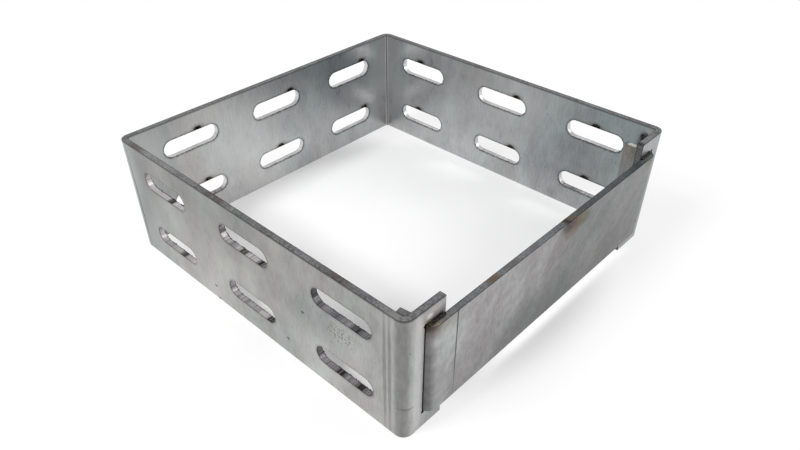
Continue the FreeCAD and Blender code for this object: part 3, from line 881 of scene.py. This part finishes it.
def tack_lines():
    """Along the top inner edge of the plate, from each seam to its flange's end."""
    height = tack_low.z + 0.45 * MM
    middle = tack_low.x + 0.55 * MM
    outer = HALF_WIDTH - SEAM_SETBACK - 1.0 * MM
    inner = HALF_WIDTH - FLANGE_LENGTH + 1.1 * MM
    for side in (-1, 1):
        yield [(middle, side * outer, height), (middle, side * inner, height)]


ring = folded_frame()
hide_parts("folded_frame")
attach(ring, "root")

plate = closing_plate()
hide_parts("closing_plate")
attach(plate, "root")

tacks = beads("tack_beads", tack_lines(), weld_metal, spacing=0.55 * MM,
              radii=(0.28 * MM, 0.50 * MM), scatter=(0.12 * MM, 0.1 * MM, 0.12 * MM),
              kept=1.0, seed=7)
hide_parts("tack_welds")
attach(tacks, "root")

dross = beads("slot_dross", dross_lines(), dross_metal, spacing=0.7 * MM,
              radii=(0.12 * MM, 0.34 * MM), scatter=(0.06 * MM, 0.06 * MM, 0.12 * MM),
              kept=0.75, seed=3)
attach(dross, "root")


# ------------------------------------------------------------------ floor, light, camera
def show_white(tree, plain, white, to_camera, to_metal):
    """Show rays from the camera and from metal a share of plain white."""
    path = add(tree, "ShaderNodeLightPath").outputs
    share = total(tree, (path["Is Camera Ray"], to_camera), (path["Is Glossy Ray"], to_metal),
                  (path["Is Transmission Ray"], to_metal))
    return add(tree, "ShaderNodeMixShader", [share, plain, white])


def floor():
    """Plain pale floor, which keeps the object's shadow and whitens away from it."""
    material, tree = new_material("pale_matt_paint")
    paint = add(tree, "ShaderNodeBsdfPrincipled",
                {"Base Color": colour("#fafafa"), "Roughness": 0.9})
    place = add(tree, COORDINATES).outputs["Object"]
    away = add(tree, VECTOR, [place], operation="LENGTH").outputs["Value"]
    beside = add(tree, RANGE, [away, 85 * MM, 115 * MM], interpolation_type="SMOOTHSTEP")
    beyond = add(tree, RANGE, [away, 115 * MM, 400 * MM], interpolation_type="SMOOTHSTEP")
    share = total(tree, (beside, 0.68), (beyond, 0.27), (1.0, 0.05))
    white = add(tree, "ShaderNodeEmission", {"Color": colour("#ffffff"), "Strength": 1.0})
    mixed = show_white(tree, paint, white, to_camera=share, to_metal=0.5)
    add(tree, "ShaderNodeOutputMaterial", [mixed])
    reach = 4.0
    mesh = bpy.data.meshes.new("floor")
    mesh.from_pydata([(-reach, -reach, 0), (reach, -reach, 0), (reach, reach, 0),
                      (-reach, reach, 0)], [], [(0, 1, 2, 3)])
    mesh.materials.append(material)
    link_piece("floor", mesh)


def area_light(name, place, target, size, energy):
    """A square soft white light aimed at a point."""
    data = bpy.data.lights.new(name, "AREA")
    data.shape = "SQUARE"
    data.size = size
    data.energy = energy
    light = bpy.data.objects.new(name, data)
    aim = (Vector(target) - Vector(place)).to_track_quat("-Z", "Y")
    light.matrix_world = Matrix.Translation(place) @ aim.to_matrix().to_4x4()
    bpy.context.collection.objects.link(light)


def camera():
    """Camera looking down on the near corner, with the plate on its right."""
    azimuth, elevation, roll = map(math.radians, (43.91, 38.29, -0.47))
    distance, slide, rise = 337.4 * MM, -1.94 * MM, -31.5 * MM
    back = Vector((math.sin(azimuth) * math.cos(elevation),
                   -math.cos(azimuth) * math.cos(elevation), math.sin(elevation)))
    right = Vector((0, 0, 1)).cross(back).normalized()
    up = back.cross(right)
    right, up = (math.cos(roll) * right + math.sin(roll) * up,
                 -math.sin(roll) * right + math.cos(roll) * up)
    place = Vector((0, 0, HEIGHT / 2)) + back * distance + right * slide + up * rise
    data = bpy.data.cameras.new("camera")
    data.sensor_width = 36.0
    data.lens = 30.97
    data.shift_x = 0.0137
    data.shift_y = 0.0341
    data.clip_start = 0.01
    eye = bpy.data.objects.new("camera", data)
    turn = Matrix((right, up, back)).transposed().to_4x4()
    eye.matrix_world = Matrix.Translation(place) @ turn
    bpy.context.collection.objects.link(eye)
    bpy.context.scene.camera = eye


def world():
    """Even studio surround, white where the camera or metal sees it."""
    surround = bpy.data.worlds.new("studio")
    surround.use_nodes = True
    tree = surround.node_tree
    tree.nodes.clear()
    plain = add(tree, "ShaderNodeBackground", {"Color": colour("#ffffff"), "Strength": 0.5})
    white = add(tree, "ShaderNodeBackground", {"Color": colour("#ffffff"), "Strength": 1.0})
    mixed = show_white(tree, plain, white, to_camera=1.0, to_metal=0.6)
    add(tree, "ShaderNodeOutputWorld", [mixed])
    bpy.context.scene.world = surround


floor()
world()
area_light("key", (-0.25, -0.95, 1.1), target=(0, 0, 0), size=0.45, energy=14.5)
area_light("window", (0.75, 0.68, 0.6), target=(0, 0, 0.03), size=0.35, energy=4)
camera()
bpy.context.scene.view_settings.view_transform = "Standard"
